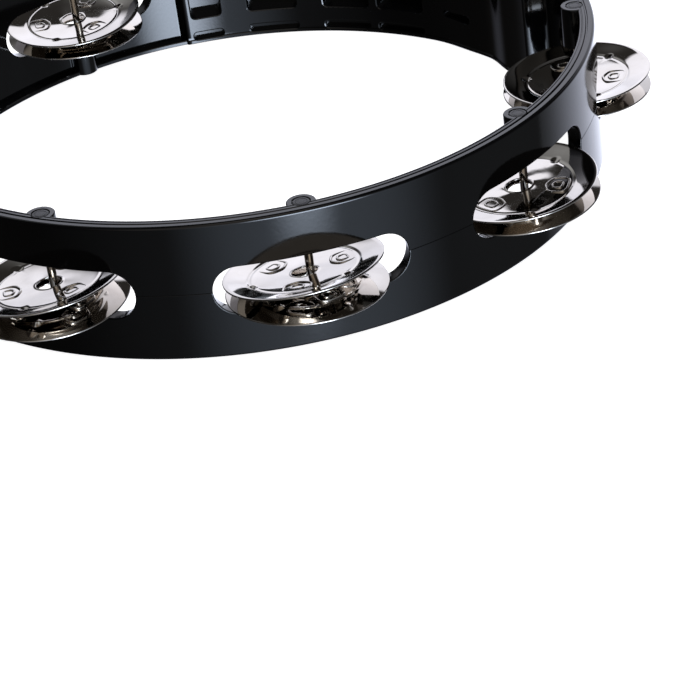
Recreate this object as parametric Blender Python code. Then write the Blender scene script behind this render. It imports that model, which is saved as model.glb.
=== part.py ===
"""Headless tambourine, ten inch, moulded in black plastic.

A ring of two half shells carries seven pairs of stamped steel jingles. Each pair hangs on
a steel pin that crosses a slot in the wall. The stretch without slots is the hand grip.

Frame: metres, +Z up along the ring's axis, the grip towards +Y. The origin is the middle
of the underside of the whole tambourine's bounding box.
"""

import math

import bmesh
import bpy
from mathutils import Matrix, Vector

MM = 0.001

# Ring
RING_R = 127.0 * MM            # outer radius, a ten inch tambourine
RING_H = 47.4 * MM             # height of the ring
PART_Z = 23.3 * MM             # height of the parting line between the two shells
PART_GAP = 0.3 * MM            # gap left between the shells
WALL = 5.2 * MM                # wall thickness
EDGE = 0.8 * MM                # chamfer on the ring's outer edges
LIP_R = 118.4 * MM             # inner radius of the lip at the foot of the ring
LIP_H = 1.6 * MM               # height of that lip
RING_STEPS = 96                # flats round the ring
ARC_STEP = 2.0                 # degrees to a flat on the grip

# Pins, slots and bosses
PIN_COUNT = 7
PIN_PITCH = 40.0               # degrees between pins
PIN_FIRST = -90.0              # the pin opposite the grip
PIN_CIRCLE_R = 121.0 * MM
PIN_R = 1.4 * MM
PIN_HEAD_R = 2.5 * MM
PIN_HEAD_H = 1.0 * MM
PIN_FOOT_Z = 4.0 * MM          # the blind bore's floor is FIT_GAP below
PIN_STEPS = 12
FIT_GAP = 0.3 * MM             # clearance round the pins and plugs
BOSS_R = 4.75 * MM
BOSS_STEPS = 20
BORE_STEPS = 16
PLUG_R = 2.8 * MM
PLUG_H = 3.0 * MM
PLUG_SUNK = 0.15 * MM          # how far the plug lies below the boss's face
SLOT_L = 63.0 * MM             # along the wall
SLOT_H = 16.6 * MM
SLOT_END_STEPS = 8             # flats round each end of a slot
SLOT_CUT_IN = 15.6 * MM        # how far inside the wall's outer face a slot's cutter starts
CUT_PAST = 5.2 * MM            # how far a cutter passes a face that it opens

# Grip
GRIP_MID = 90.0                # degrees
GRIP_HALF = 39.6               # degrees to each end of the grip
GRIP_R = 117.6 * MM            # inner radius of most of the grip
SHOULDER_R = 116.2 * MM        # inner radius of the shoulder, where the grip first swells
SHOULDER_AZ = (80.0, 70.0)     # degrees where that swelling starts and is full
HEEL_R = 113.6 * MM            # inner radius of the heel at the grip's end
HEEL_AZ = (66.0, 58.0)         # degrees where the heel starts and is full
GRIP_SKIN = 3.4 * MM           # wall left behind the finger pockets
# Start and end, in degrees, of the cells between the ribs. Each has a finger pocket at
# half height, and a groove below and above it.
GRIP_CELLS = ((82.3, 92.0), (93.9, 102.9), (108.3, 117.6), (122.8, 128.4))
POCKET_Z = 10.5 * MM           # the pockets reach from this height to its mirror
GROOVE_Z = (1.6 * MM, 4.4 * MM)
GROOVE_DEPTH = 2.6 * MM
SLIT_AZ = (70.5, 77.3)         # degrees, the slit in the shoulder
SLIT_Z = (11.2 * MM, 14.2 * MM)
SLIT_DEPTH = 3.0 * MM

# Jingles
JINGLE_R = 26.0 * MM
JINGLE_T = 0.6 * MM
JINGLE_HOLE_R = 4.2 * MM
JINGLE_CREASE_R = 17.0 * MM
JINGLE_DEPTH = 2.1 * MM        # from the rim to the flat middle
JINGLE_STEPS = 36
JINGLE_SHARP = 60.0            # degrees; the crease and rim shade smooth below this

# How each pair lies on its pin: the jingle's shift from the pin along the wall and
# outwards, its rim's height, and its slope along the wall and outwards.
UPPER_REST = (
    ((-0.5, 2.25, 25.6), (0.127, 0.003)),
    ((-2.05, -0.6, 24.8), (0.066, 0.156)),
    ((-2.3, -0.7, 23.45), (0.064, 0.048)),
    ((-2.0, -1.2, 22.25), (-0.016, 0.042)),
    ((1.2, 0.6, 24.2), (-0.050, 0.060)),
    ((2.3, -0.7, 23.45), (-0.064, 0.048)),
    ((-1.0, 0.8, 23.5), (0.040, 0.070)),
)
LOWER_REST = (
    ((-1.0, 1.95, 18.1), (-0.006, -0.040)),
    ((-1.8, 0.4, 17.35), (-0.025, 0.050)),
    ((-1.05, -0.65, 17.8), (0.042, 0.022)),
    ((-0.7, -1.3, 16.25), (-0.015, -0.012)),
    ((0.9, 0.5, 17.3), (0.010, 0.020)),
    ((1.05, -0.65, 17.8), (-0.042, 0.022)),
    ((-0.8, 0.6, 17.3), (0.015, 0.030)),
)

SHARP = 35.0                   # degrees; an edge bent more than this stays sharp

# Materials: name, colour, roughness, metallic
BLACK = ("gloss_black_abs", (0.012, 0.013, 0.016, 1.0), 0.12, 0.0)
CHROME = ("plated_steel", (0.78, 0.77, 0.76, 1.0), 0.08, 1.0)
STEEL = ("pin_steel", (0.60, 0.56, 0.50, 1.0), 0.2, 1.0)
PLUG_BLACK = ("plug_plastic", (0.03, 0.03, 0.035, 1.0), 0.35, 0.0)


def clear_scene():
    for obj in list(bpy.data.objects):
        bpy.data.objects.remove(obj, do_unlink=True)


def material(name, colour, roughness, metallic):
    mat = bpy.data.materials.new(name)
    mat.use_nodes = True
    shader = mat.node_tree.nodes["Principled BSDF"]
    shader.inputs["Base Color"].default_value = colour
    shader.inputs["Roughness"].default_value = roughness
    shader.inputs["Metallic"].default_value = metallic
    return mat


def new_object(name, bm, mat=None, parent=None):
    mesh = bpy.data.meshes.new(name)
    bm.to_mesh(mesh)
    bm.free()
    obj = bpy.data.objects.new(name, mesh)
    bpy.context.scene.collection.objects.link(obj)
    if mat:
        mesh.materials.append(mat)
    if parent:
        obj.parent = parent
    return obj


def smooth(obj, degrees=SHARP):
    obj.data.shade_smooth()
    obj.data.set_sharp_from_angle(angle=math.radians(degrees))


def revolve(outline, steps):
    """A ring-shaped body turned round Z. outline lists (radius, height) anticlockwise,
    seen with the axis on the left."""
    bm = bmesh.new()
    rings = []
    for i in range(steps):
        angle = 2.0 * math.pi * i / steps
        ring = []
        for r, z in outline:
            ring.append(bm.verts.new((r * math.cos(angle), r * math.sin(angle), z)))
        rings.append(ring)
    count = len(outline)
    for i in range(steps):
        here = rings[i]
        there = rings[(i + 1) % steps]
        for k in range(count):
            n = (k + 1) % count
            bm.faces.new((here[k], there[k], there[n], here[n]))
    bmesh.ops.recalc_face_normals(bm, faces=bm.faces[:])
    return bm


def cylinder(radius, z_low, z_high, steps, centre=(0.0, 0.0)):
    bm = bmesh.new()
    middle = Vector((centre[0], centre[1], (z_low + z_high) / 2.0))
    bmesh.ops.create_cone(
        bm,
        cap_ends=True,
        segments=steps,
        radius1=radius,
        radius2=radius,
        depth=z_high - z_low,
        matrix=Matrix.Translation(middle),
    )
    return bm


def boolean(obj, other, operation):
    mod = obj.modifiers.new(other.name, "BOOLEAN")
    mod.operation = operation
    mod.object = other
    other.hide_render = True
    other.display_type = "WIRE"


def pin_angles():
    """Degrees round the ring, starting opposite the grip and going anticlockwise."""
    half = PIN_COUNT // 2
    turns = list(range(half + 1)) + list(range(-half, 0))
    return [PIN_FIRST + PIN_PITCH * k for k in turns]


def at_angle(radius, degrees):
    angle = math.radians(degrees)
    return radius * math.cos(angle), radius * math.sin(angle)


def eased(degrees, start, end):
    """Rises smoothly from 0 at the start angle to 1 at the end angle."""
    t = min(1.0, max(0.0, (start - degrees) / (start - end)))
    return t * t * (3.0 - 2.0 * t)


def grip_inner_radius(degrees):
    """Inner radius of the grip: even for most of its length, then a shoulder and a heel."""
    shoulder = (SHOULDER_R - GRIP_R) * eased(degrees, *SHOULDER_AZ)
    heel = (HEEL_R - SHOULDER_R) * eased(degrees, *HEEL_AZ)
    return GRIP_R + shoulder + heel


def shell_outline(upper):
    """Section of the wall: (radius, height) anticlockwise with the axis on the left."""
    inner = RING_R - WALL
    if upper:
        low = PART_Z + PART_GAP / 2.0
        return [
            (inner, low),
            (RING_R, low),
            (RING_R, RING_H - EDGE),
            (RING_R - EDGE, RING_H),
            (inner, RING_H),
        ]
    high = PART_Z - PART_GAP / 2.0
    return [
        (LIP_R, 0.0),
        (RING_R - EDGE, 0.0),
        (RING_R, EDGE),
        (RING_R, high),
        (inner, high),
        (inner, LIP_H + 2.0 * EDGE),
        (LIP_R, LIP_H),
    ]


def shell_span(upper):
    if upper:
        return PART_Z + PART_GAP / 2.0, RING_H
    return 0.0, PART_Z - PART_GAP / 2.0


def arc_block(z_low, z_high, start, end, inner_at, outer_r):
    """A block between two angles; inner_at gives its inner radius at an angle."""
    bm = bmesh.new()
    count = math.ceil((end - start) / ARC_STEP) + 1
    rings = []
    for i in range(count):
        degrees = start + (end - start) * i / (count - 1)
        x0, y0 = at_angle(inner_at(degrees), degrees)
        x1, y1 = at_angle(outer_r, degrees)
        corners = ((x0, y0, z_low), (x1, y1, z_low), (x1, y1, z_high), (x0, y0, z_high))
        rings.append([bm.verts.new(c) for c in corners])
    for here, there in zip(rings, rings[1:]):
        for k in range(4):
            n = (k + 1) % 4
            bm.faces.new((here[k], there[k], there[n], here[n]))
    bm.faces.new(rings[0])
    bm.faces.new(rings[-1][::-1])
    bmesh.ops.recalc_face_normals(bm, faces=bm.faces[:])
    return bm


def slot_cutter(name, degrees, parent):
    """A stadium prism through the wall: its length lies along the wall."""
    end_r = SLOT_H / 2.0
    straight = SLOT_L / 2.0 - end_r
    outline = []
    for side in (1.0, -1.0):
        for i in range(SLOT_END_STEPS + 1):
            angle = -math.pi / 2.0 + math.pi * i / SLOT_END_STEPS
            along = straight + end_r * math.cos(angle)
            outline.append((side * along, side * end_r * math.sin(angle)))
    inner = RING_R - SLOT_CUT_IN
    outer = RING_R + CUT_PAST
    bm = bmesh.new()
    near = [bm.verts.new((inner, y, PART_Z + z)) for y, z in outline]
    far = [bm.verts.new((outer, y, PART_Z + z)) for y, z in outline]
    bm.faces.new(near)
    bm.faces.new(far[::-1])
    for k in range(len(outline)):
        n = (k + 1) % len(outline)
        bm.faces.new((near[k], near[n], far[n], far[k]))
    bmesh.ops.recalc_face_normals(bm, faces=bm.faces[:])
    bm.transform(Matrix.Rotation(math.radians(degrees), 4, "Z"))
    return new_object(name, bm, parent=parent)


def heights(span, upper):
    """A span of heights in the lower shell, or its mirror in the upper one."""
    low, high = span
    if upper:
        return RING_H - high, RING_H - low
    return low, high


def grip_cutters(prefix, upper, parent):
    """What opens inwards in the grip: each cell's pocket and groove, and the slit."""
    front = HEEL_R - CUT_PAST
    middle = RING_H - PART_Z if upper else PART_Z
    pocket = heights((POCKET_Z, middle + CUT_PAST), upper)
    groove = heights(GROOVE_Z, upper)
    blocks = []
    for k, (start, end) in enumerate(GRIP_CELLS):
        blocks.append((f"pocket_{k + 1}", pocket, start, end, RING_R - GRIP_SKIN))
        blocks.append((f"groove_{k + 1}", groove, start, end, GRIP_R + GROOVE_DEPTH))
    blocks.append(("slit", heights(SLIT_Z, upper), *SLIT_AZ, SHOULDER_R + SLIT_DEPTH))
    cutters = []
    for name, span, start, end, back in blocks:
        bm = arc_block(*span, start, end, lambda _: front, back)
        cutters.append(new_object(f"{prefix}_{name}", bm, parent=parent))
    return cutters


def bore_cutter(name, x, y, upper, parent):
    """What is bored out of a boss: the pin's bore, and the plug's seat on top."""
    gap = FIT_GAP
    if not upper:
        bm = cylinder(PIN_R + gap, PIN_FOOT_Z - gap, PART_Z, BORE_STEPS, (x, y))
        return new_object(name, bm, parent=parent)
    head_low = plug_low() - PIN_HEAD_H - 2.0 * gap
    outline = [
        (0.0, PART_Z),
        (PIN_R + gap, PART_Z),
        (PIN_R + gap, head_low),
        (PLUG_R + gap, head_low),
        (PLUG_R + gap, RING_H + CUT_PAST),
        (0.0, RING_H + CUT_PAST),
    ]
    bm = turned(outline, BORE_STEPS)
    bm.transform(Matrix.Translation((x, y, 0.0)))
    return new_object(name, bm, parent=parent)


def turned(outline, steps):
    """A solid turned body: outline runs from the axis at the foot to the axis on top."""
    bm = bmesh.new()
    foot = bm.verts.new((0.0, 0.0, outline[0][1]))
    top = bm.verts.new((0.0, 0.0, outline[-1][1]))
    rings = []
    for r, z in outline[1:-1]:
        ring = []
        for i in range(steps):
            angle = 2.0 * math.pi * i / steps
            ring.append(bm.verts.new((r * math.cos(angle), r * math.sin(angle), z)))
        rings.append(ring)
    for i in range(steps):
        n = (i + 1) % steps
        bm.faces.new((foot, rings[0][n], rings[0][i]))
        bm.faces.new((top, rings[-1][i], rings[-1][n]))
        for low, high in zip(rings, rings[1:]):
            bm.faces.new((low[i], low[n], high[n], high[i]))
    bmesh.ops.recalc_face_normals(bm, faces=bm.faces[:])
    return bm


def plug_low():
    return RING_H - PLUG_SUNK - PLUG_H


def build_shell(name, upper, mat, root):
    z_low, z_high = shell_span(upper)
    shell = new_object(name, revolve(shell_outline(upper), RING_STEPS), mat, root)
    prefix = "upper" if upper else "lower"
    start, end = GRIP_MID - GRIP_HALF, GRIP_MID + GRIP_HALF
    block = arc_block(z_low, z_high, start, end, grip_inner_radius, RING_R - WALL / 2.0)
    boolean(shell, new_object(prefix + "_grip_block", block, parent=root), "UNION")
    for k, degrees in enumerate(pin_angles()):
        x, y = at_angle(PIN_CIRCLE_R, degrees)
        boss = cylinder(BOSS_R, z_low, z_high, BOSS_STEPS, (x, y))
        boolean(shell, new_object(f"{prefix}_boss_{k + 1}", boss, parent=root), "UNION")
    for k, degrees in enumerate(pin_angles()):
        x, y = at_angle(PIN_CIRCLE_R, degrees)
        bore = bore_cutter(f"{prefix}_bore_{k + 1}", x, y, upper, root)
        boolean(shell, bore, "DIFFERENCE")
        slot = slot_cutter(f"{prefix}_slot_{k + 1}", degrees, root)
        boolean(shell, slot, "DIFFERENCE")
    for cutter in grip_cutters(prefix, upper, root):
        boolean(shell, cutter, "DIFFERENCE")
    smooth(shell)
    return shell


def build_pin(name, mat, parent):
    """A plain pin with a flat head; its origin is on its own axis."""
    head_high = plug_low() - FIT_GAP
    head_low = head_high - PIN_HEAD_H
    outline = [
        (0.0, PIN_FOOT_Z),
        (PIN_R, PIN_FOOT_Z),
        (PIN_R, head_low),
        (PIN_HEAD_R, head_low),
        (PIN_HEAD_R, head_high),
        (0.0, head_high),
    ]
    pin = new_object(name, turned(outline, PIN_STEPS), mat, parent)
    smooth(pin)
    return pin


def build_plug(name, mat, parent):
    top = RING_H - PLUG_SUNK
    outline = [
        (0.0, plug_low()),
        (PLUG_R, plug_low()),
        (PLUG_R, top - PLUG_SUNK),
        (PLUG_R - PLUG_SUNK, top),
        (0.0, top),
    ]
    plug = new_object(name, turned(outline, BOSS_STEPS), mat, parent)
    smooth(plug)
    return plug


def jingle_outline():
    """Section of the sheet with its rim at height 0 and its flat middle below it."""
    half = JINGLE_T / 2.0
    line = ((JINGLE_HOLE_R, -JINGLE_DEPTH), (JINGLE_CREASE_R, -JINGLE_DEPTH), (JINGLE_R, 0.0))
    under = [(r, z - half) for r, z in line]
    over = [(r, z + half) for r, z in reversed(line)]
    return under + over


def jingle_matrix(rest, degrees, flipped):
    """Where a jingle lies: tilted by its two slopes and shifted from its pin."""
    (along, outward, height), (slope_along, slope_out) = rest
    tilt = Matrix.Rotation(-math.atan(slope_out), 4, "Y")
    tilt = Matrix.Rotation(math.atan(slope_along), 4, "X") @ tilt
    if flipped:
        tilt = tilt @ Matrix.Rotation(math.pi, 4, "X")
    place = Matrix.Translation((outward * MM, along * MM, height * MM))
    return Matrix.Rotation(math.radians(degrees), 4, "Z") @ place @ tilt


def build_jingle(name, rest, degrees, flipped, mat, axis):
    """A jingle with its origin on its pin's axis."""
    jingle = new_object(name, revolve(jingle_outline(), JINGLE_STEPS), mat, axis)
    jingle.data.transform(jingle_matrix(rest, degrees, flipped))
    smooth(jingle, JINGLE_SHARP)
    return jingle


def build_pair(index, degrees, mats, root):
    """A pin, its plug and its two jingles, on an empty that lies on the pin's axis."""
    number = index + 1
    x, y = at_angle(PIN_CIRCLE_R, degrees)
    axis = bpy.data.objects.new(f"pin_axis_{number}", None)
    bpy.context.scene.collection.objects.link(axis)
    axis.parent = root
    axis.location = (x, y, 0.0)
    build_pin(f"jingle_pin_{number}", mats["steel"], axis)
    build_plug(f"boss_plug_{number}", mats["plug"], axis)
    plate = mats["chrome"]
    build_jingle(f"upper_jingle_{number}", UPPER_REST[index], degrees, False, plate, axis)
    build_jingle(f"lower_jingle_{number}", LOWER_REST[index], degrees, True, plate, axis)


def set_origin(root):
    """Moves the whole object so that the middle of its underside is the origin."""
    bpy.context.view_layer.update()
    points = []
    for obj in bpy.data.objects:
        if obj.type == "MESH" and not obj.hide_render:
            points += [obj.matrix_world @ v.co for v in obj.data.vertices]
    low = Vector([min(p[i] for p in points) for i in range(3)])
    high = Vector([max(p[i] for p in points) for i in range(3)])
    root.location = (-(low.x + high.x) / 2.0, -(low.y + high.y) / 2.0, -low.z)
    bpy.context.view_layer.update()


def main():
    clear_scene()
    root = bpy.data.objects.new("ring_axis", None)
    bpy.context.scene.collection.objects.link(root)
    mats = {
        "black": material(*BLACK),
        "chrome": material(*CHROME),
        "steel": material(*STEEL),
        "plug": material(*PLUG_BLACK),
    }
    build_shell("frame_upper_shell", True, mats["black"], root)
    build_shell("frame_lower_shell", False, mats["black"], root)
    for index, degrees in enumerate(pin_angles()):
        build_pair(index, degrees, mats, root)
    set_origin(root)


main()
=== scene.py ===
"""The looks of a ten-inch headless tambourine in gloss black plastic with plated jingles.

Sizes are in millimetres and angles in degrees unless a comment says otherwise; the frame and
the studio are in metres. Places come from the CAD frame: the ring from its shells' boxes, each
pin from its own box, and each jingle from the circle that its CAD solid makes.
"""

import math

import bmesh
import bpy
import numpy as np
from mathutils import Matrix, Vector


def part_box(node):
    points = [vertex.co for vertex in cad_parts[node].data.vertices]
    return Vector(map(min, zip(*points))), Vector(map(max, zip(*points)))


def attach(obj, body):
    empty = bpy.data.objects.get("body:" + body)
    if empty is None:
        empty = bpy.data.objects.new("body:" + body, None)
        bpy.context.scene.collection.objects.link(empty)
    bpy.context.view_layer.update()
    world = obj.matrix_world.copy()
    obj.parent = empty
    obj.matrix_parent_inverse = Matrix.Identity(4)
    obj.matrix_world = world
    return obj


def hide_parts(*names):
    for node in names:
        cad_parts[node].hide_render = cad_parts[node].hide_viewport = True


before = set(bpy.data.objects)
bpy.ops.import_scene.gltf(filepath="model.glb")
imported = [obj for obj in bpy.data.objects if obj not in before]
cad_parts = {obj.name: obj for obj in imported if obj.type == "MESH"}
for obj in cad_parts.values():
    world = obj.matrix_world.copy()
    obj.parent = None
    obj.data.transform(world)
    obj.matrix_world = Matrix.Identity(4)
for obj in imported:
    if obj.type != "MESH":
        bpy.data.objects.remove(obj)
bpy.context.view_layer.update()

MM = 0.001

# Ring, read from the frame
UPPER_LOW, UPPER_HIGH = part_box("frame_upper_shell")
_, LOWER_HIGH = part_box("frame_lower_shell")
RING_X = (UPPER_LOW.x + UPPER_HIGH.x) / 2.0
RING_Y = (UPPER_LOW.y + UPPER_HIGH.y) / 2.0
RING_R = (UPPER_HIGH.x - UPPER_LOW.x) / 2.0 / MM
RING_H = UPPER_HIGH.z / MM
PART_Z = (UPPER_LOW.z + LOWER_HIGH.z) / 2.0 / MM

# Ring, details
WALL = 5.2
PART_HALF_GAP = 0.03            # half the gap along the parting line
PART_ROUND = 0.14               # round of the edges that meet there
RIM_ROUND = 0.95                # round between the rim and the outer wall
INNER_ROUND = 0.5
RIM_GROOVES = ((124.3, 0.45, 0.5), (122.8, 0.28, 0.2))  # radius, half width, depth
GROOVE_FLOOR = 0.4              # width of a groove's floor against its mouth
FOOT_ROUND = 0.8
LIP_R = 118.4
LIP_H = 1.6
LIP_STAND = 0.05                # the lip stands at least this far inside the wall or grip
LIP_CHAMFER = 0.3
LIP_FILLET_H = 1.0              # height over the lip where the wall's fillet starts
LIP_FILLET_IN = 0.03            # how far that fillet has come in at the chamfer's height
ROUND_STEPS = 5
RIM_STEPS = 7
FINE_STEPS = 3                  # along the smallest rounds
SHARP = 32.0                    # an edge bent more than this stays sharp

# The ring's faces, as clean_normals tells them apart
LEVEL = 0.9999                  # a level face's normal has at least this much z
UPRIGHT = 0.001                 # and an upright face's normal at most this much
ON_FACE = 0.2                   # how far from the wall's radius a piece of it may lie
FACES_WAY = 0.995               # and how well it must look the wall's way
SWELL_STEP = 0.25               # degrees to each side over which the grip's swell is read

# Slots, bosses and bores
PAIRS = range(1, 8)
SLOT_L = 63.0
SLOT_H = 16.6
SLOT_ROUND = 0.5
SLOT_END_STEPS = 24
SLOT_SIDE_STEPS = 24
SLOT_OUT = 6.0                  # how far a slot's cutter reaches out of the ring
SLOT_IN = 10.0                  # and inwards of the wall
MOUTH_ARC = (15.0, 90.0)        # part of a mouth's round that the cutter follows
MOUTH_STEPS = 4
MOUTH_PAST = 0.2                # the cutter widens this far past the wall's faces
MOUTH_CLEAR = 0.75              # and by this much
BOSS_R = 4.75
BOSS_ROUND = 0.35
BOSS_ROUND_STEPS = 4
BOSS_REACH = 122.3              # the bosses end inside the wall, clear of the rim's grooves
BOSS_STEPS = 64
BORE_R = 1.55
BORE_STEPS = 48
BORE_PAST = 3.0                 # how far a bore's cutter reaches past the parting line
PLUG_SEAT_R = 2.95
PLUG_SEAT_DEPTH = 5.0
SEAT_CHAMFER = 0.2
SEAT_PAST = 0.4                 # how far a seat's cutter reaches over the rim
PIN_FOOT_Z = 4.0
PIN_FOOT_ROOM = 0.3             # room under the pin's foot

# Pins and plugs
SHANK_R = 1.4
SHANK_TAPER = (0.4, 0.5)        # width and height of the taper at the foot
HEAD_T = 1.0
HEAD_CHAMFER = 0.15
PIN_ROUND = 0.25
PIN_STEPS = 40
PIN_SHARP = 40.0
PLUG_R = 2.8
PLUG_CHAMFER = 0.2
PLUG_ROUND = 0.22
PLUG_STEPS = 56
PLUG_SHARP = 30.0
# The plug's face from its round inwards: radius, and depth under the rim's height
PLUG_FACE = ((2.05, 0.0), (1.95, 0.08), (1.85, 0.08), (1.75, 0.0), (0.4, -0.02))

# Grip
GRIP_MID = 90.0
GRIP_HALF = 39.6
GRIP_R = 117.6
SHOULDER_R = 116.2
SHOULDER_AZ = (80.0, 70.0)
HEEL_R = 113.6
HEEL_AZ = (66.0, 58.0)
GRIP_BLEND = 1.2                # degrees over which each end of the grip rises
GRIP_BLEND_STEPS = 6
GRIP_SKIN = 3.4
GRIP_CELLS = ((82.3, 92.0), (93.9, 102.9), (108.3, 117.6), (122.8, 128.4))
POCKET_Z = 10.5
GROOVE_Z = (1.6, 4.4)
GROOVE_DEPTH = 2.6
SLIT_AZ = (70.5, 77.3)
SLIT_Z = (11.2, 14.2)
SLIT_DEPTH = 3.0
POCKET_ROUND = 1.6              # round of a pocket's corners
CORNER_LIMIT = 0.9              # but at most this much of half its height
CORNER_STEPS = 6
CELL_FLARE = 0.6                # round of a cell's mouth
FLARE_KNEE = (0.3, 0.29)        # a point on that round: depth and width against the flare
CELL_FLATS = 12                 # along a cell
CELL_REACH = 8.0                # how far inwards of the grip its cutters start

# Jingles
JINGLE_T = 0.6
JINGLE_R = 25.95
HOLE_R = 4.2
CREASE_R = 17.0
JINGLE_DEPTH = 2.1
CREASE_BLEND = 2.0              # radius over which flat middle turns into flange
CREASE_DIP = 0.2                # how deep the pressed line at the crease is
CREASE_DIP_R = 17.7
CREASE_DIP_W = 0.55
LIP_RISE = 0.45                 # the hole's edge is rolled up this much
LIP_WIDTH = 0.9
DIMPLE_COUNT = 3
DIMPLE_PITCH = 360.0 / DIMPLE_COUNT
DIMPLE_R = 17.9                 # from the jingle's centre
DIMPLE_SIZE = 2.1
DIMPLE_DEPTH = 0.55
# Where the sheet has its points. Radii, closer where it is worked: from, to, how many.
SHEET_RADII = (
    (HOLE_R + JINGLE_T / 2.0, HOLE_R + 1.6, 6),     # the hole's lip
    (HOLE_R + 3.2, 15.0, 4),
    (16.0, 22.0, 20),                               # the crease and the dimples
    (23.0, JINGLE_R - JINGLE_T / 2.0, 3),
)
DIMPLE_NEAR = 8.0               # degrees to each side of a dimple with closer points
NEAR_COUNT = 21
FAR_COUNT = 34                  # points from one dimple's closer ones to the next's
EDGE_STEPS = 8                  # round the sheet's edges
MARK_R = 13.0
MARK_BEAD = 0.42                # half width of the mark's bead
MARK_RISE = 0.3                 # height of that bead
BEAD_STEPS = 8
MARK_BADGE = ((3.6, -4.4), (3.6, 4.4), (-2.2, 4.4), (-4.2, 0.0), (-2.2, -4.4))
MARK_INNER = 0.45               # size of the badge's inner outline against its outer one
MARK_SIDE_STEPS = 8
MARK_WEAR = 6                   # times that the badge's corners are worn round
# How the flat middle is bent: its lift, its dish from hole to crease, its twist at the
# crease, and the twist's angle. The stampings aren't all alike.
PLAIN_WARP = (-0.35, 0.7, 0.1, 20.0)
JINGLE_WARP = {("upper", 3): (0.3, -0.38, 0.5, -32.0)}
JINGLE_WAVE = 0.06              # unevenness of the stamped sheet
WAVE_OUT = 0.45                 # radians of it to a millimetre outwards
WAVE_ROUND = (2.0, 3.0)         # swells round the jingle, in its two factors
WAVE_START = 0.8                # radians
RIM_BAND = 0.0005               # metres; CAD points so near the farthest one are on the rim
SAME_POINT = 6                  # decimals of a metre to which CAD points count as one
# How far each jingle has turned about its own axis: its first dimple from the wall's line.
UPPER_TURN = {1: 38.0, 2: 70.0, 3: 112.0, 4: 75.0, 5: 40.0, 6: 0.0, 7: 30.0}
LOWER_TURN = {1: 70.0, 2: 10.0, 3: 40.0, 4: 25.0, 5: 100.0, 6: 60.0, 7: 85.0}

# Floor, in metres
FLOOR_FLAT = (0.6, 1.4, 2.2)    # radii of its level part
FLOOR_CURVE = 0.8               # radius of the curve that turns it up
FLOOR_CURVE_STEPS = 10
FLOOR_TOP = 3.4
FLOOR_STEPS = 72
FLOOR_DROP = 0.0004             # how far it lies below the ring's foot
FLOOR_GLOW = 0.95

# Camera: turned round the ring's axis from -Y, then aimed a little off the ring's centre.
# The distance and the clips are metres, the aim is radians.
CAMERA_TURN = 32.7
CAMERA_ELEVATION = 26.631
CAMERA_DISTANCE = 0.93591
CAMERA_AIM_RIGHT = 0.02904
CAMERA_AIM_UP = -0.07307
CAMERA_ROLL = -7.748
CAMERA_LENS = 135.02
CAMERA_SENSOR = 36.0
CAMERA_CLIP = (0.02, 50.0)

# Soft boxes: name, azimuth and elevation, distance and size in metres, power, colour
SOFTBOXES = (
    ("key_softbox", (60.0, 45.0), 1.2, 0.6, 6.0, (1.0, 0.99, 0.97)),
    ("front_softbox", (-60.0, 60.0), 1.3, 0.5, 3.0, (0.92, 0.95, 1.0)),
)

# Studio: the patches of light that the gloss mirrors. Azimuth from the camera's right (90 is
# straight behind the ring), elevation, inner and outer radius, strength, colour.
ROOM_LIGHT = 0.03
ROOM_COLOUR = (1.0, 0.95, 0.92, 1.0)
STUDIO_LIGHT = (
    (60.0, -25.0, 6.0, 42.0, 1.0, (0.80, 0.84, 1.0, 1.0)),      # bright table at the right
    (62.0, -25.0, 41.5, 43.0, 0.15, (0.84, 0.90, 1.0, 1.0)),    # and its edge
    (80.0, -25.0, 10.0, 55.0, 0.4, (0.76, 0.80, 1.0, 1.0)),     # table behind
    (128.0, 40.0, 4.0, 28.0, 0.4, (0.92, 0.95, 1.0, 1.0)),      # dim panel at the left
    (-74.5, -10.0, 0.0, 21.0, 17.0, (0.72, 0.83, 1.0, 1.0)),    # lamp in front
    (-73.0, -16.0, 0.0, 44.0, 0.95, (0.70, 0.82, 1.0, 1.0)),    # and its halo
    (-60.0, -35.0, 30.0, 85.0, 0.13, (0.86, 0.92, 1.0, 1.0)),   # table in front
    (-85.0, 72.0, 2.0, 20.0, 0.7, (1.0, 0.92, 0.84, 1.0)),      # warm ceiling over the camera
    (-95.0, 24.0, 8.0, 48.0, 0.4, (1.0, 0.94, 0.88, 1.0)),      # and the room below it
)
# The sweep behind the ring: patches like the ones above, in one colour, kept on the side of a
# plane that its normal (azimuth, elevation) points to, and fading out between two elevations.
SWEEP_COLOUR = (0.86, 0.88, 1.0, 1.0)
SWEEP_LIGHT = ((80.0, 12.0, 8.0, 58.0, 1.0), (89.0, 27.0, 4.0, 18.0, 0.5))
SWEEP_SIDE = (14.0, -5.0)
SWEEP_SIDE_SOFT = 2.5           # fade to each side of the plane
SWEEP_TOP = (29.4, 31.2)


# ---------------------------------------------------------------- mesh helpers


def polar(radius, degrees, z=0.0):
    a = math.radians(degrees)
    return (radius * math.cos(a), radius * math.sin(a), z)


def circle(radius, z, steps):
    return [polar(radius, 360.0 * i / steps, z) for i in range(steps)]


def arc(cx, cz, radius, start, end, steps=ROUND_STEPS):
    """Points (r, z) on a circle's arc, both ends included, degrees from +r."""
    out = []
    for i in range(steps + 1):
        a = math.radians(start + (end - start) * i / steps)
        out.append((cx + radius * math.cos(a), cz + radius * math.sin(a)))
    return out


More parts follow.
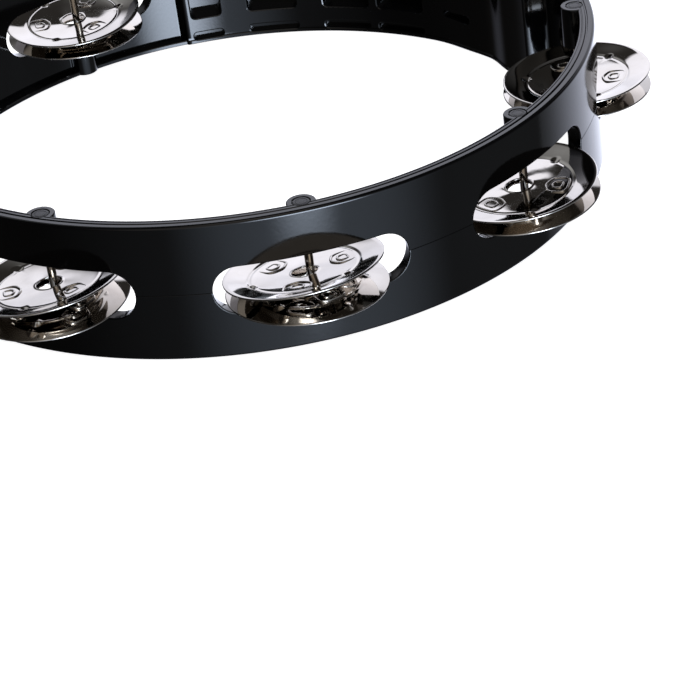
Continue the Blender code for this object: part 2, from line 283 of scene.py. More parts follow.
def bm_from_rings(rings, closed, capped):
    """Quads between rings of equal length. closed joins the last ring to the first;
    capped closes the first and the last ring with a face."""
    bm = bmesh.new()
    made = [[bm.verts.new(p) for p in ring] for ring in rings]
    pairs = list(zip(made, made[1:]))
    if closed:
        pairs.append((made[-1], made[0]))
    count = len(made[0])
    for here, there in pairs:
        for k in range(count):
            n = (k + 1) % count
            bm.faces.new((here[k], there[k], there[n], here[n]))
    if capped:
        bm.faces.new(made[0])
        bm.faces.new(made[-1][::-1])
    bmesh.ops.recalc_face_normals(bm, faces=bm.faces[:])
    return bm


def add_object(name, bm):
    mesh = bpy.data.meshes.new(name)
    bm.to_mesh(mesh)
    bm.free()
    obj = bpy.data.objects.new(name, mesh)
    bpy.context.scene.collection.objects.link(obj)
    return obj


def joined(bms):
    """Several bmeshes as one."""
    out = bmesh.new()
    for bm in bms:
        mesh = bpy.data.meshes.new("part")
        bm.to_mesh(mesh)
        bm.free()
        out.from_mesh(mesh)
        bpy.data.meshes.remove(mesh)
    return out


def turned(outline, steps, centre):
    """A solid body turned about an upright axis: outline runs from foot to top, off the axis."""
    rings = []
    for r, z in outline:
        rings.append([(x + centre[0], y + centre[1], h) for x, y, h in circle(r, z, steps)])
    return bm_from_rings(rings, closed=False, capped=True)


def carve(obj, cutter, operation):
    """Joins a cutter to an object, or cuts it out, and removes it."""
    mod = obj.modifiers.new(operation.lower(), "BOOLEAN")
    mod.operation = operation
    mod.object = cutter
    bpy.context.view_layer.update()
    result = obj.evaluated_get(bpy.context.evaluated_depsgraph_get())
    done = bpy.data.meshes.new_from_object(result)
    obj.modifiers.clear()
    old = obj.data
    obj.data = done
    bpy.data.meshes.remove(old)
    bpy.data.objects.remove(cutter)


def place_ring(obj):
    """From millimetres about the ring's axis to the frame."""
    obj.data.transform(Matrix.Translation((RING_X, RING_Y, 0.0)) @ Matrix.Scale(MM, 4))


# ---------------------------------------------------------------- ring


def off_axis(low, high):
    """Where a box's middle lies from the ring's axis, in metres."""
    return ((low.x + high.x) / 2.0 - RING_X, (low.y + high.y) / 2.0 - RING_Y)


def pin_degrees(number):
    x, y = off_axis(*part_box(f"jingle_pin_{number}"))
    return math.degrees(math.atan2(y, x))


PIN_CIRCLE_R = math.hypot(*off_axis(*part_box("jingle_pin_1"))) / MM


def pin_centre(number):
    return polar(PIN_CIRCLE_R, pin_degrees(number))[:2]


def ease(t):
    t = min(1.0, max(0.0, t))
    return t * t * (3.0 - 2.0 * t)


def inner_radius(degrees):
    """Inner radius of the ring: the wall's, or the grip's with its heel."""
    wall = RING_R - WALL
    off = abs((degrees - GRIP_MID + 180.0) % 360.0 - 180.0)
    if off >= GRIP_HALF + GRIP_BLEND:
        return wall
    shoulder = ease((SHOULDER_AZ[0] - degrees) / (SHOULDER_AZ[0] - SHOULDER_AZ[1]))
    heel = ease((HEEL_AZ[0] - degrees) / (HEEL_AZ[0] - HEEL_AZ[1]))
    grip = GRIP_R + (SHOULDER_R - GRIP_R) * shoulder + (HEEL_R - SHOULDER_R) * heel
    return grip + (wall - grip) * ease((off - GRIP_HALF) / GRIP_BLEND)


def ring_angles():
    """Degrees round the ring: every degree, and closer where the grip's ends rise."""
    angles = [float(i) for i in range(360)]
    for side in (-1.0, 1.0):
        end = GRIP_MID + side * GRIP_HALF
        for i in range(GRIP_BLEND_STEPS + 1):
            angles.append(end + side * GRIP_BLEND * i / GRIP_BLEND_STEPS)
    return sorted(set(angles))


def upper_section(inner):
    """The upper shell's section (r, z): parting line, outer wall, grooved rim, inner face."""
    low = PART_Z + PART_HALF_GAP
    points = [(inner, low)]
    points += arc(RING_R - PART_ROUND, low + PART_ROUND, PART_ROUND, -90.0, 0.0, FINE_STEPS)
    points += arc(RING_R - RIM_ROUND, RING_H - RIM_ROUND, RIM_ROUND, 0.0, 90.0, RIM_STEPS)
    for radius, half, depth in RIM_GROOVES:
        floor = half * GROOVE_FLOOR
        points += [(radius + half, RING_H), (radius + floor, RING_H - depth)]
        points += [(radius - floor, RING_H - depth), (radius - half, RING_H)]
    points += arc(inner + INNER_ROUND, RING_H - INNER_ROUND, INNER_ROUND, 90.0, 180.0)
    return points


def lower_section(inner):
    """The lower shell's section (r, z): foot, outer wall, parting line, inner face and lip."""
    high = PART_Z - PART_HALF_GAP
    lip = min(LIP_R, inner - LIP_STAND)
    points = [(lip + LIP_CHAMFER, 0.0)]
    points += arc(RING_R - FOOT_ROUND, FOOT_ROUND, FOOT_ROUND, -90.0, 0.0)
    points += arc(RING_R - PART_ROUND, high - PART_ROUND, PART_ROUND, 0.0, 90.0, FINE_STEPS)
    points += [(inner, high), (inner, LIP_H + LIP_FILLET_H)]
    points += [(inner - LIP_FILLET_IN, LIP_H + LIP_CHAMFER), (lip + LIP_CHAMFER, LIP_H)]
    points += [(lip, LIP_H - LIP_CHAMFER), (lip, LIP_CHAMFER)]
    return points


def ring_body(name, section):
    rings = []
    for degrees in ring_angles():
        rings.append([polar(r, degrees, z) for r, z in section(inner_radius(degrees))])
    return add_object(name, bm_from_rings(rings, closed=True, capped=False))


def stadium(grow):
    """The slot's outline (along, up) grown by an amount, with points along its sides so
    that it can follow the curved wall."""
    end_r = SLOT_H / 2.0 + grow
    straight = (SLOT_L - SLOT_H) / 2.0
    points = []
    for side in (1.0, -1.0):
        for i in range(SLOT_END_STEPS):
            a = -math.pi / 2.0 + math.pi * i / SLOT_END_STEPS
            points.append((side * (straight + end_r * math.cos(a)), side * end_r * math.sin(a)))
        for i in range(SLOT_SIDE_STEPS):
            along = straight * (1.0 - 2.0 * i / SLOT_SIDE_STEPS)
            points.append((side * along, side * end_r))
    return points


def slot_cutter(degrees):
    """A slot through the wall whose two mouths are rounded, following the wall's curve."""
    start, end = MOUTH_ARC
    soft = []
    for i in range(MOUTH_STEPS + 1):
        t = math.radians(start + (end - start) * i / MOUTH_STEPS)
        soft.append((SLOT_ROUND * (1.0 - math.cos(t)), SLOT_ROUND * (1.0 - math.sin(t))))
    widest = soft[0][1] + MOUTH_CLEAR
    inner = RING_R - WALL
    profile = [(RING_R + SLOT_OUT, widest), (RING_R + MOUTH_PAST, widest)]
    profile += [(RING_R - depth, grow) for depth, grow in soft]
    profile += [(inner + depth, grow) for depth, grow in reversed(soft)]
    profile += [(inner - MOUTH_PAST, widest), (inner - SLOT_IN, widest)]
    rings = []
    for radius, grow in profile:
        ring = []
        for along, up in stadium(grow):
            ring.append((math.sqrt(radius * radius - along * along), along, PART_Z + up))
        rings.append(ring)
    bm = bm_from_rings(rings, closed=False, capped=True)
    bm.transform(Matrix.Rotation(math.radians(degrees), 4, "Z"))
    return bm


def boss_bodies(low, high, round_top):
    """The bosses of one shell, each with one round end."""
    flank = BOSS_R - BOSS_ROUND
    if round_top:
        outline = [(BOSS_R, low)]
        outline += arc(flank, high - BOSS_ROUND, BOSS_ROUND, 0.0, 90.0, BOSS_ROUND_STEPS)
    else:
        outline = arc(flank, low + BOSS_ROUND, BOSS_ROUND, -90.0, 0.0, BOSS_ROUND_STEPS)
        outline += [(BOSS_R, high)]
    bms = []
    for number in PAIRS:
        boss = turned(outline, BOSS_STEPS, pin_centre(number))
        for vert in boss.verts:
            radius = math.hypot(vert.co.x, vert.co.y)
            if radius > BOSS_REACH:
                vert.co.x *= BOSS_REACH / radius
                vert.co.y *= BOSS_REACH / radius
        bms.append(boss)
    return joined(bms)


def bore_cutters(upper):
    """Bores through the upper bosses with the plugs' seats, or blind ones in the lower."""
    if upper:
        seat = RING_H - PLUG_SEAT_DEPTH
        mouth = PLUG_SEAT_R + SEAT_CHAMFER + SEAT_PAST
        outline = [(BORE_R, PART_Z - BORE_PAST), (BORE_R, seat), (PLUG_SEAT_R, seat)]
        outline += [(PLUG_SEAT_R, RING_H - SEAT_CHAMFER), (mouth, RING_H + SEAT_PAST)]
    else:
        outline = [(BORE_R, PIN_FOOT_Z - PIN_FOOT_ROOM), (BORE_R, PART_Z + BORE_PAST)]
    return joined([turned(outline, BORE_STEPS, pin_centre(number)) for number in PAIRS])


def cell_columns(half_along, half_up, corner, grow):
    """The upper half of a cell's outline, (along, up) from one end to the other."""
    quarter = []
    for i in range(CORNER_STEPS + 1):
        a = math.pi / 2.0 * i / CORNER_STEPS
        along = half_along - corner + (corner + grow) * math.cos(a)
        up = half_up - corner + (corner + grow) * math.sin(a)
        quarter.append((along, up))
    flat = half_along - corner
    straight = []
    for i in range(1, CELL_FLATS):
        straight.append((flat * (1.0 - 2.0 * i / CELL_FLATS), half_up + grow))
    return quarter + straight + [(-along, up) for along, up in reversed(quarter)]


def cell_cutter(start, end, z_low, z_high, mouth, back):
    """A cutter for the grip, with round corners, that widens at its mouth. mouth and back are
    radii, start and end degrees."""
    middle = (start + end) / 2.0
    half_along = math.radians(end - start) / 2.0 * mouth
    half_up = (z_high - z_low) / 2.0
    corner = min(POCKET_ROUND, half_up * CORNER_LIMIT)
    knee_in, knee_out = FLARE_KNEE
    layers = [(mouth - CELL_REACH, CELL_FLARE), (mouth, CELL_FLARE)]
    layers += [(mouth + CELL_FLARE * knee_in, CELL_FLARE * knee_out)]
    layers += [(mouth + CELL_FLARE, 0.0), (back, 0.0)]
    bm = bmesh.new()
    rows = []
    for radius, grow in layers:
        row = []
        for along, up in cell_columns(half_along, half_up, corner, grow):
            degrees = middle + math.degrees(along / mouth)
            over = bm.verts.new(polar(radius, degrees, (z_low + z_high) / 2.0 + up))
            under = bm.verts.new(polar(radius, degrees, (z_low + z_high) / 2.0 - up))
            row.append((over, under))
        rows.append(row)
    last = len(rows[0]) - 1
    for here, there in zip(rows, rows[1:]):
        for k in range(last):
            for side in (0, 1):
                near, far = here[k][side], here[k + 1][side]
                bm.faces.new((near, far, there[k + 1][side], there[k][side]))
        for k in (0, last):
            bm.faces.new((here[k][0], here[k][1], there[k][1], there[k][0]))
    for row in (rows[0], rows[-1]):
        for k in range(last):
            bm.faces.new((row[k][0], row[k + 1][0], row[k + 1][1], row[k][1]))
    bmesh.ops.recalc_face_normals(bm, faces=bm.faces[:])
    bmesh.ops.triangulate(bm, faces=bm.faces[:])
    return bm


def grip_cutters(upper):
    """The grip's pockets, the groove along the shell's edge and the slit by the heel."""

    def mirrored(span):
        low, high = span
        return (RING_H - high, RING_H - low) if upper else span

    bms = []
    for start, end in GRIP_CELLS:
        back = RING_R - GRIP_SKIN
        bms.append(cell_cutter(start, end, POCKET_Z, RING_H - POCKET_Z, GRIP_R, back))
        back = GRIP_R + GROOVE_DEPTH
        bms.append(cell_cutter(start, end, *mirrored(GROOVE_Z), GRIP_R, back))
    back = SHOULDER_R + SLIT_DEPTH
    bms.append(cell_cutter(*SLIT_AZ, *mirrored(SLIT_Z), SHOULDER_R, back))
    return joined(bms)


def inner_normal(x, y):
    """The way that the ring's inner face looks at a place, with the grip's swell in it."""
    degrees = math.degrees(math.atan2(y, x))
    growth = inner_radius(degrees + SWELL_STEP) - inner_radius(degrees - SWELL_STEP)
    swell = growth / math.radians(2.0 * SWELL_STEP)
    out = Vector((x, y, 0.0)).normalized()
    around = Vector((-out.y, out.x, 0.0))
    return (around * (swell / math.hypot(x, y)) - out).normalized()


def outer_normal(x, y):
    return Vector((x, y, 0.0)).normalized()


def clean_normals(obj):
    """Shades the ring's round and flat faces by what they are, whatever cuts them."""
    mesh = obj.data
    mesh.shade_smooth()
    mesh.set_sharp_from_angle(angle=math.radians(SHARP))
    normals = np.empty(len(mesh.loops) * 3, np.float32)
    mesh.corner_normals.foreach_get("vector", normals)
    normals = normals.reshape(-1, 3).copy()
    for poly in mesh.polygons:
        n = poly.normal
        c = poly.center
        loops = range(poly.loop_start, poly.loop_start + poly.loop_total)
        if abs(n.z) > LEVEL:
            for li in loops:
                normals[li] = (0.0, 0.0, math.copysign(1.0, n.z))
            continue
        if abs(n.z) > UPRIGHT:
            continue
        radius = math.hypot(c.x, c.y)
        outer = abs(radius - RING_R) < ON_FACE
        inner = abs(radius - inner_radius(math.degrees(math.atan2(c.y, c.x)))) < ON_FACE
        for face, way in ((outer, outer_normal), (inner, inner_normal)):
            if face and n.dot(way(c.x, c.y)) > FACES_WAY:
                for li in loops:
                    p = mesh.vertices[mesh.loops[li].vertex_index].co
                    normals[li] = way(p.x, p.y)
    mesh.normals_split_custom_set([tuple(n) for n in normals])


def build_shell(upper, mat):
    name = "ring_upper_shell" if upper else "ring_lower_shell"
    obj = ring_body(name, upper_section if upper else lower_section)
    if upper:
        low, high = PART_Z + PART_HALF_GAP, RING_H
    else:
        low, high = 0.0, PART_Z - PART_HALF_GAP
    carve(obj, add_object("bosses", boss_bodies(low, high, upper)), "UNION")
    slots = joined([slot_cutter(pin_degrees(number)) for number in PAIRS])
    carve(obj, add_object("slots", slots), "DIFFERENCE")
    carve(obj, add_object("bores", bore_cutters(upper)), "DIFFERENCE")
    carve(obj, add_object("pockets", grip_cutters(upper)), "DIFFERENCE")
    clean_normals(obj)
    place_ring(obj)
    obj.data.materials.clear()
    obj.data.materials.append(mat)
    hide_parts("frame_upper_shell" if upper else "frame_lower_shell")
    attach(obj, "frame")


# ---------------------------------------------------------------- pins and plugs


def round_part(name, outline, steps, box, sharp, mat):
    """A turned body that stands in the middle of its CAD node's box."""
    x, y = off_axis(*box)
    obj = add_object(name, turned(outline, steps, (x / MM, y / MM)))
    obj.data.shade_smooth()
    obj.data.set_sharp_from_angle(angle=math.radians(sharp))
    place_ring(obj)
    obj.data.materials.append(mat)
    return obj


def build_pin(number, mat):
    """A drawn steel pin with a flat head and a lead-in chamfer at its foot."""
    node = f"jingle_pin_{number}"
    low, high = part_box(node)
    foot, top = low.z / MM, high.z / MM
    head_r = (high.x - low.x) / 2.0 / MM
    neck = top - HEAD_T
    taper, taper_h = SHANK_TAPER
    outline = [(SHANK_R - taper, foot), (SHANK_R, foot + taper_h), (SHANK_R, neck - PIN_ROUND)]
    outline += arc(SHANK_R + PIN_ROUND, neck - PIN_ROUND, PIN_ROUND, 180.0, 90.0, FINE_STEPS)
    outline += [(head_r - HEAD_CHAMFER, neck), (head_r, neck + HEAD_CHAMFER)]
    outline += arc(head_r - PIN_ROUND, top - PIN_ROUND, PIN_ROUND, 0.0, 90.0, FINE_STEPS)
    obj = round_part(f"pin_{number}_rod", outline, PIN_STEPS, (low, high), PIN_SHARP, mat)
    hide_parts(node)
    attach(obj, f"pin_{number}")


def build_plug(number, mat):
    """A moulded plug, slightly crowned, with a fine ring turned in its face."""
    node = f"boss_plug_{number}"
    low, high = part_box(node)
    foot, top = low.z / MM, high.z / MM
    edge = PLUG_R - PLUG_ROUND
    outline = [(PLUG_R - PLUG_CHAMFER, foot), (PLUG_R, foot + PLUG_CHAMFER)]
    outline += arc(edge, top - PLUG_ROUND, PLUG_ROUND, 0.0, 90.0, BOSS_ROUND_STEPS)
    outline += [(radius, top - depth) for radius, depth in PLUG_FACE]
    obj = round_part(f"plug_{number}_cap", outline, PLUG_STEPS, (low, high), PLUG_SHARP, mat)
    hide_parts(node)
    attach(obj, "frame")


# ---------------------------------------------------------------- jingles


def sheet_height(radius, degrees, warp):
    """Height of the sheet's middle surface, with the rim at 0 and the flat middle below."""
    slope = JINGLE_DEPTH / (JINGLE_R - CREASE_R)
    x = radius - CREASE_R
    blended = (x + math.sqrt(x * x + CREASE_BLEND * CREASE_BLEND / 4.0)) / 2.0
    height = -JINGLE_DEPTH + slope * blended
    turn = math.radians(degrees)
    lift, dish, twist, twist_at = warp
    bend = 0.5 * twist * math.sin(2.0 * turn + math.radians(twist_at))
    if radius < CREASE_R:
        height += lift + (dish + bend) * (radius / CREASE_R) ** 2
    else:
        height += (lift + dish + bend) * (JINGLE_R - radius) / (JINGLE_R - CREASE_R)
    swirl = math.sin(radius * WAVE_OUT + WAVE_ROUND[0] * turn)
    height += JINGLE_WAVE * swirl * math.sin(WAVE_ROUND[1] * turn + WAVE_START)
    height -= CREASE_DIP * math.exp(-(((radius - CREASE_DIP_R) / CREASE_DIP_W) ** 2))
    height += LIP_RISE * max(0.0, 1.0 - (radius - HOLE_R) / LIP_WIDTH) ** 2
    for k in range(DIMPLE_COUNT):
        a = math.radians(degrees - DIMPLE_PITCH * k)
        away = math.hypot(radius * math.cos(a) - DIMPLE_R, radius * math.sin(a))
        if away < DIMPLE_SIZE:
            height -= DIMPLE_DEPTH * (1.0 - (away / DIMPLE_SIZE) ** 2) ** 2
    return height


def sheet_radii():
    return [r for start, end, count in SHEET_RADII for r in np.linspace(start, end, count)]


def sheet_angles():
    """Degrees round the jingle, closer at the dimples."""
    near = np.linspace(-DIMPLE_NEAR, DIMPLE_NEAR, NEAR_COUNT)
    far = np.linspace(DIMPLE_NEAR, DIMPLE_PITCH - DIMPLE_NEAR, FAR_COUNT)[1:-1]
    pitch = np.concatenate((near, far))
    return [k * DIMPLE_PITCH + a for k in range(DIMPLE_COUNT) for a in pitch]


def mark_bead(path, face):
    """A raised bead along a closed path (u, v) about the mark's middle, on the sheet's upper
    face (1) or lower face (-1)."""
    rings = []
    count = len(path)
    for i, (u, v) in enumerate(path):
        before = path[i - 1]
        after = path[(i + 1) % count]
        along = Vector((after[0] - before[0], after[1] - before[1], 0.0)).normalized()
        side = Vector((along.y, -along.x, 0.0))
        ring = []
        for k in range(BEAD_STEPS):
            a = 2.0 * math.pi * k / BEAD_STEPS
            offset = side * (MARK_BEAD * math.cos(a))
            ring.append((u + offset.x, v + offset.y, MARK_RISE * math.sin(a) * face))
        rings.append(ring)
    return bm_from_rings(rings, closed=True, capped=False)


def smoothed(corners, per_side, rounds):
    """A closed path through corners, with its corners worn round."""
    path = []
    for k, (x0, y0) in enumerate(corners):
        x1, y1 = corners[(k + 1) % len(corners)]
        for i in range(per_side):
            path.append((x0 + (x1 - x0) * i / per_side, y0 + (y1 - y0) * i / per_side))
    for _ in range(rounds):
        softer = []
        for i, (x, y) in enumerate(path):
            (x0, y0), (x1, y1) = path[i - 1], path[(i + 1) % len(path)]
            softer.append(((x * 2 + x0 + x1) / 4, (y * 2 + y0 + y1) / 4))
        path = softer
    return path


def mark_paths():
    """A generic stamped mark: a badge with a smaller one inside it."""
    badge = smoothed(MARK_BADGE, MARK_SIDE_STEPS, MARK_WEAR)
    return [badge, [(u * MARK_INNER, v * MARK_INNER) for u, v in badge]]


def jingle_mesh(mat, warp):
    """One stamped jingle about its own axis, concave side up, in metres."""
    half = JINGLE_T / 2.0
    radii = sheet_radii()
    edge = []
    for i in range(1, EDGE_STEPS):
        a = math.radians(90.0 - 180.0 * i / EDGE_STEPS)
        edge.append((half * math.cos(a), half * math.sin(a)))
    rings = []
    for degrees in sheet_angles():
        heights = [sheet_height(r, degrees, warp) for r in radii]
        sheet = list(zip(radii, heights))
        section = [(r, z + half) for r, z in sheet]
        section += [(radii[-1] + out, heights[-1] + up) for out, up in edge]
        section += [(r, z - half) for r, z in reversed(sheet)]
        section += [(radii[0] - out, heights[0] + up) for out, up in reversed(edge)]
        rings.append([polar(r, degrees, z) for r, z in section])
    bms = [bm_from_rings(rings, closed=True, capped=False)]
    for k in range(DIMPLE_COUNT):
        between = DIMPLE_PITCH * (k + 0.5)
        turn = Matrix.Rotation(math.radians(between), 4, "Z")
        for face in (1.0, -1.0):
            height = sheet_height(MARK_R, between, warp) + face * half
            for path in mark_paths():
                bm = mark_bead(path, face)
                bm.transform(turn @ Matrix.Translation((MARK_R, 0.0, height)))
                bms.append(bm)
    bm = joined(bms)
    bm.transform(Matrix.Scale(MM, 4))
    mesh = bpy.data.meshes.new("stamped_jingle")
    bm.to_mesh(mesh)
    bm.free()
    mesh.shade_smooth()
    mesh.materials.append(mat)
    return mesh


def jingle_pose(node, turn):
    """Where a CAD jingle lies: its rim's centre, and its axis from flat middle to rim."""
    co = np.array([v.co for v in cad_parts[node].data.vertices], float)
    co = np.unique(np.round(co, SAME_POINT), axis=0)
    mean = co.mean(axis=0)
    off = co - mean
    _, _, ways = np.linalg.svd(off)
    axis = ways[2]
    from_axis = np.linalg.norm(off - np.outer(off @ axis, axis), axis=1)
    rim = co[from_axis > from_axis.max() - RIM_BAND].mean(axis=0)
    if (rim - mean) @ axis < 0.0:
        axis = -axis
    up = Vector(axis)
    centre = Vector(rim)
    out = Vector((centre.x - RING_X, centre.y - RING_Y, 0.0))
    along = Vector((0.0, 0.0, 1.0)).cross(out)
    along = (along - up * along.dot(up)).normalized()
    basis = Matrix((along, up.cross(along), up)).transposed().to_4x4()
    return Matrix.Translation(centre) @ basis @ Matrix.Rotation(math.radians(turn), 4, "Z")


def build_jingle(level, number, mat, turn):
    node = f"{level}_jingle_{number}"
    mesh = jingle_mesh(mat, JINGLE_WARP.get((level, number), PLAIN_WARP))
    mesh.transform(jingle_pose(node, turn))
    obj = bpy.data.objects.new(f"{level}_plate_{number}", mesh)
    bpy.context.scene.collection.objects.link(obj)
    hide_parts(node)
    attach(obj, f"{level}_plate_{number}")


# ---------------------------------------------------------------- materials


class Graph:
    """A few short ways to add shader nodes to one tree."""

    def __init__(self, tree):
        self.tree = tree

    def add(self, kind, **settings):
        node = self.tree.nodes.new(kind)
        for key, value in settings.items():
            setattr(node, key, value)
        return node

    def link(self, out, into):
        self.tree.links.new(out, into)

    def place(self):
        """The object's own coordinates."""
        return self.add("ShaderNodeTexCoord").outputs["Object"]

    def math(self, operation, first, second):
        """first and second are numbers or sockets."""
        node = self.add("ShaderNodeMath", operation=operation)
        for i, value in enumerate((first, second)):
            if isinstance(value, float):
                node.inputs[i].default_value = value
            else:
                self.link(value, node.inputs[i])
        return node.outputs[0]

    def spread(self, value, start, end, soft=False):
        """Maps the range start (low, high) to the range end, and holds it there."""
        node = self.add("ShaderNodeMapRange")
        node.interpolation_type = "SMOOTHSTEP" if soft else "LINEAR"
        self.link(value, node.inputs["Value"])
        for name, limits in (("From", start), ("To", end)):
            node.inputs[f"{name} Min"].default_value = limits[0]
            node.inputs[f"{name} Max"].default_value = limits[1]
        return node.outputs["Result"]

    def noise(self, vector, scale, detail, rough):
        node = self.add("ShaderNodeTexNoise")
        self.link(vector, node.inputs["Vector"])
        node.inputs["Scale"].default_value = scale
        node.inputs["Detail"].default_value = detail
        node.inputs["Roughness"].default_value = rough
        return node.outputs["Fac"]


def new_material(name, colour, roughness, metallic):
    mat = bpy.data.materials.new(name)
    mat.use_nodes = True
    shader = mat.node_tree.nodes["Principled BSDF"]
    shader.inputs["Base Color"].default_value = colour
    shader.inputs["Roughness"].default_value = roughness
    shader.inputs["Metallic"].default_value = metallic
    return mat, Graph(mat.node_tree), shader


def add_bump(graph, shader, height, strength, distance):
    bump = graph.add("ShaderNodeBump")
    bump.inputs["Strength"].default_value = strength
    bump.inputs["Distance"].default_value = distance
    graph.link(height, bump.inputs["Height"])
    graph.link(bump.outputs["Normal"], shader.inputs["Normal"])


def add_colour(graph, shader, value, stops):
    """Colours by a value: stops are two pairs of place and colour."""
    ramp = graph.add("ShaderNodeValToRGB")
    graph.link(value, ramp.inputs["Fac"])
    for element, (position, colour) in zip(ramp.color_ramp.elements, stops):
        element.position = position
        element.color = colour
    graph.link(ramp.outputs["Color"], shader.inputs["Base Color"])


def add_roughness(graph, shader, value, start, end):
    graph.link(graph.spread(value, start, end), shader.inputs["Roughness"])


def plastic_material():
    """Gloss black moulding: a very slight waviness, and wiped patches that are duller."""
    mat, g, shader = new_material(
        "gloss_black_plastic", colour=(0.01, 0.011, 0.014, 1.0), roughness=0.1, metallic=0.0
    )
    where = g.place()
    patches = g.noise(where, scale=28.0, detail=4.0, rough=0.55)
    grain = g.noise(where, scale=900.0, detail=2.0, rough=0.5)
    dark, pale = (0.0024, 0.0026, 0.0032, 1.0), (0.0045, 0.0048, 0.0058, 1.0)
    add_roughness(g, shader, patches, (0.35, 0.7), (0.05, 0.11))
    add_colour(g, shader, patches, ((0.3, dark), (0.75, pale)))
    add_bump(g, shader, grain, strength=0.06, distance=0.00008)
    return mat


def jingle_material():
    """Nickel-plated stamped steel: bright, slightly warm, with faint wiping marks."""
    mat, g, shader = new_material(
        "plated_jingle_steel", colour=(0.65, 0.61, 0.56, 1.0), roughness=0.05, metallic=1.0
    )
    where = g.place()
    haze = g.noise(where, scale=120.0, detail=5.0, rough=0.6)
    wave = g.noise(where, scale=300.0, detail=2.0, rough=0.5)
    dull, bright = (0.61, 0.57, 0.52, 1.0), (0.69, 0.655, 0.61, 1.0)
    add_roughness(g, shader, haze, (0.35, 0.75), (0.03, 0.075))
    add_colour(g, shader, haze, ((0.25, dull), (0.75, bright)))
    add_bump(g, shader, wave, strength=0.05, distance=0.0001)
    return mat


def pin_material():
    """Drawn steel with fine rings round the rod."""
    mat, g, shader = new_material(
        "drawn_pin_steel", colour=(0.62, 0.56, 0.49, 1.0), roughness=0.14, metallic=1.0
    )
    squeeze = g.add("ShaderNodeMapping")
    squeeze.inputs["Scale"].default_value = (60.0, 60.0, 3000.0)
    g.link(g.place(), squeeze.inputs["Vector"])
    rings = g.noise(squeeze.outputs["Vector"], scale=1.0, detail=3.0, rough=0.6)
    dull, bright = (0.56, 0.50, 0.43, 1.0), (0.68, 0.63, 0.56, 1.0)
    add_roughness(g, shader, rings, (0.3, 0.7), (0.06, 0.14))
    add_colour(g, shader, rings, ((0.2, dull), (0.8, bright)))
    add_bump(g, shader, rings, strength=0.08, distance=0.0001)
    return mat


def plug_material():
    """Satin black moulding."""
    mat, g, shader = new_material(
        "satin_black_plug", colour=(0.02, 0.021, 0.024, 1.0), roughness=0.3, metallic=0.0
    )
    grain = g.noise(g.place(), scale=1500.0, detail=3.0, rough=0.6)
    dark, pale = (0.016, 0.017, 0.02, 1.0), (0.028, 0.029, 0.033, 1.0)
    add_roughness(g, shader, grain, (0.3, 0.7), (0.24, 0.38))
    add_colour(g, shader, grain, ((0.3, dark), (0.7, pale)))
    add_bump(g, shader, grain, strength=0.15, distance=0.0001)
    return mat


# ---------------------------------------------------------------- studio


def camera_way(azimuth, elevation):
    """A direction given as seen from the camera: azimuth 0 is to its right, 90 away from it."""
    a = math.radians(azimuth + CAMERA_TURN)
    e = math.radians(elevation)
    return Vector((math.cos(a) * math.cos(e), math.sin(a) * math.cos(e), math.sin(e)))


def right_and_up(forward):
    """The level way to the right of a direction, and the way up that goes with it."""
    right = forward.cross(Vector((0.0, 0.0, 1.0))).normalized()
    return right, right.cross(forward)


def build_camera():
    """The camera, on a sphere round the ring and aimed a little off its centre."""
    centre = Vector((RING_X, RING_Y, 0.0))
    away = camera_way(-90.0, CAMERA_ELEVATION)
    spot = centre + away * CAMERA_DISTANCE
    right, up = right_and_up(-away)
    aim = -away + right * math.tan(CAMERA_AIM_RIGHT) + up * math.tan(CAMERA_AIM_UP)
    aim.normalize()
    right, up = right_and_up(aim)
    roll = math.radians(CAMERA_ROLL)
    across = right * math.cos(roll) + up * math.sin(roll)
    upright = up * math.cos(roll) - right * math.sin(roll)
    data = bpy.data.cameras.new("camera")
    data.lens = CAMERA_LENS
    data.sensor_width = CAMERA_SENSOR
    data.clip_start, data.clip_end = CAMERA_CLIP
    camera = bpy.data.objects.new("camera", data)
    bpy.context.scene.collection.objects.link(camera)
    basis = Matrix((across, upright, -aim)).transposed().to_4x4()
    camera.matrix_world = Matrix.Translation(spot) @ basis
    bpy.context.scene.camera = camera


def build_floor():
    """A pale floor that sweeps up into a backdrop all round, lit evenly."""
    edge = FLOOR_FLAT[-1]
    outline = [(r, 0.0) for r in FLOOR_FLAT]
    outline += arc(edge, FLOOR_CURVE, FLOOR_CURVE, -90.0, 0.0, FLOOR_CURVE_STEPS)[1:]
    outline += [(edge + FLOOR_CURVE, FLOOR_TOP)]
    rings = [circle(r, z - FLOOR_DROP, FLOOR_STEPS) for r, z in outline]
    bm = bm_from_rings(rings, closed=False, capped=False)
    bm.verts.ensure_lookup_table()
    bm.faces.new(bm.verts[:FLOOR_STEPS])
    bmesh.ops.recalc_face_normals(bm, faces=bm.faces[:])
    floor = add_object("studio_floor", bm)
    floor.data.shade_smooth()
    mat, _, shader = new_material(
        "studio_white", colour=(0.9, 0.9, 0.9, 1.0), roughness=0.6, metallic=0.0
    )
    shader.inputs["Emission Color"].default_value = (1.0, 1.0, 1.0, 1.0)
    shader.inputs["Emission Strength"].default_value = FLOOR_GLOW
    floor.data.materials.append(mat)
    floor.visible_glossy = False
    floor.visible_diffuse = False


def lobe(g, ray, way, inner, outer, strength):
    """A soft round patch of light round a direction: full to the inner radius, none past the
    outer one."""
    dot = g.add("ShaderNodeVectorMath", operation="DOT_PRODUCT")
    g.link(ray, dot.inputs[0])
    dot.inputs[1].default_value = way
    near = math.cos(math.radians(inner))
    far = math.cos(math.radians(outer))
    return g.spread(dot.outputs["Value"], (far, near), (0.0, strength), soft=True)


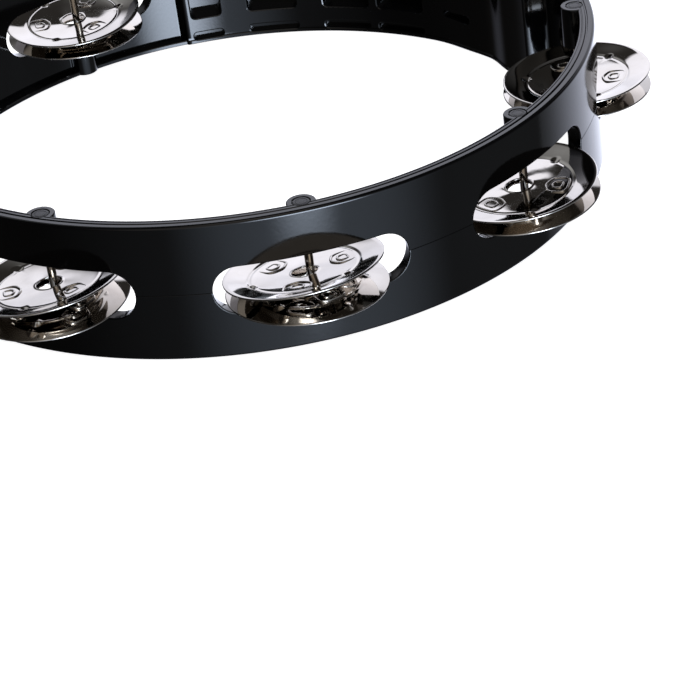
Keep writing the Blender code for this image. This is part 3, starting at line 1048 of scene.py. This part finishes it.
def sweep(g, ray):
    """The strength of the sweep behind the ring, by direction."""
    main, band = (lobe(g, ray, camera_way(*patch[:2]), *patch[2:]) for patch in SWEEP_LIGHT)
    side = camera_way(*SWEEP_SIDE)
    kept = lobe(g, ray, side, 90.0 - SWEEP_SIDE_SOFT, 90.0 + SWEEP_SIDE_SOFT, 1.0)
    faded, fading = (90.0 - elevation for elevation in reversed(SWEEP_TOP))
    above = lobe(g, ray, Vector((0.0, 0.0, 1.0)), faded, fading, 1.0)
    shape = g.math("MULTIPLY", kept, g.math("SUBTRACT", 1.0, above))
    return g.math("MULTIPLY", g.math("ADD", main, band), shape)


def build_world():
    """What the gloss sees: a bright sweep behind, tables round the ring, a lamp low in front
    a little to the camera's right, a warm ceiling over the camera, and a dark room."""
    world = bpy.data.worlds.new("studio")
    bpy.context.scene.world = world
    world.use_nodes = True
    g = Graph(world.node_tree)
    ray = g.add("ShaderNodeTexCoord").outputs["Generated"]
    room = world.node_tree.nodes["Background"]
    room.inputs["Color"].default_value = ROOM_COLOUR
    room.inputs["Strength"].default_value = ROOM_LIGHT
    total = room.outputs["Background"]
    patches = [(sweep(g, ray), SWEEP_COLOUR)]
    for azimuth, elevation, inner, outer, strength, colour in STUDIO_LIGHT:
        way = camera_way(azimuth, elevation)
        patches.append((lobe(g, ray, way, inner, outer, strength), colour))
    for patch, colour in patches:
        part = g.add("ShaderNodeBackground")
        part.inputs["Color"].default_value = colour
        g.link(patch, part.inputs["Strength"])
        both = g.add("ShaderNodeAddShader")
        g.link(total, both.inputs[0])
        g.link(part.outputs["Background"], both.inputs[1])
        total = both.outputs["Shader"]
    g.link(total, world.node_tree.nodes["World Output"].inputs["Surface"])


def build_lights():
    """Two soft boxes that light what is matt; the gloss sees the world instead."""
    for name, angles, distance, size, power, colour in SOFTBOXES:
        way = camera_way(*angles)
        data = bpy.data.lights.new(name, "AREA")
        data.shape = "DISK"
        data.size = size
        data.energy = power
        data.color = colour
        light = bpy.data.objects.new(name, data)
        bpy.context.scene.collection.objects.link(light)
        light.location = Vector((RING_X, RING_Y, 0.0)) + way * distance
        light.rotation_mode = "QUATERNION"
        light.rotation_quaternion = (-way).to_track_quat("-Z", "Y")
        light.visible_glossy = False


# ---------------------------------------------------------------- the scene

build_camera()
build_floor()
build_world()
build_lights()
bpy.context.scene.view_settings.view_transform = "Standard"

plastic = plastic_material()
build_shell(True, plastic)
build_shell(False, plastic)
steel = pin_material()
satin = plug_material()
plated = jingle_material()
for pair in PAIRS:
    build_pin(pair, steel)
    build_plug(pair, satin)
    build_jingle("upper", pair, plated, UPPER_TURN[pair])
    build_jingle("lower", pair, plated, LOWER_TURN[pair])

bpy.context.view_layer.update()
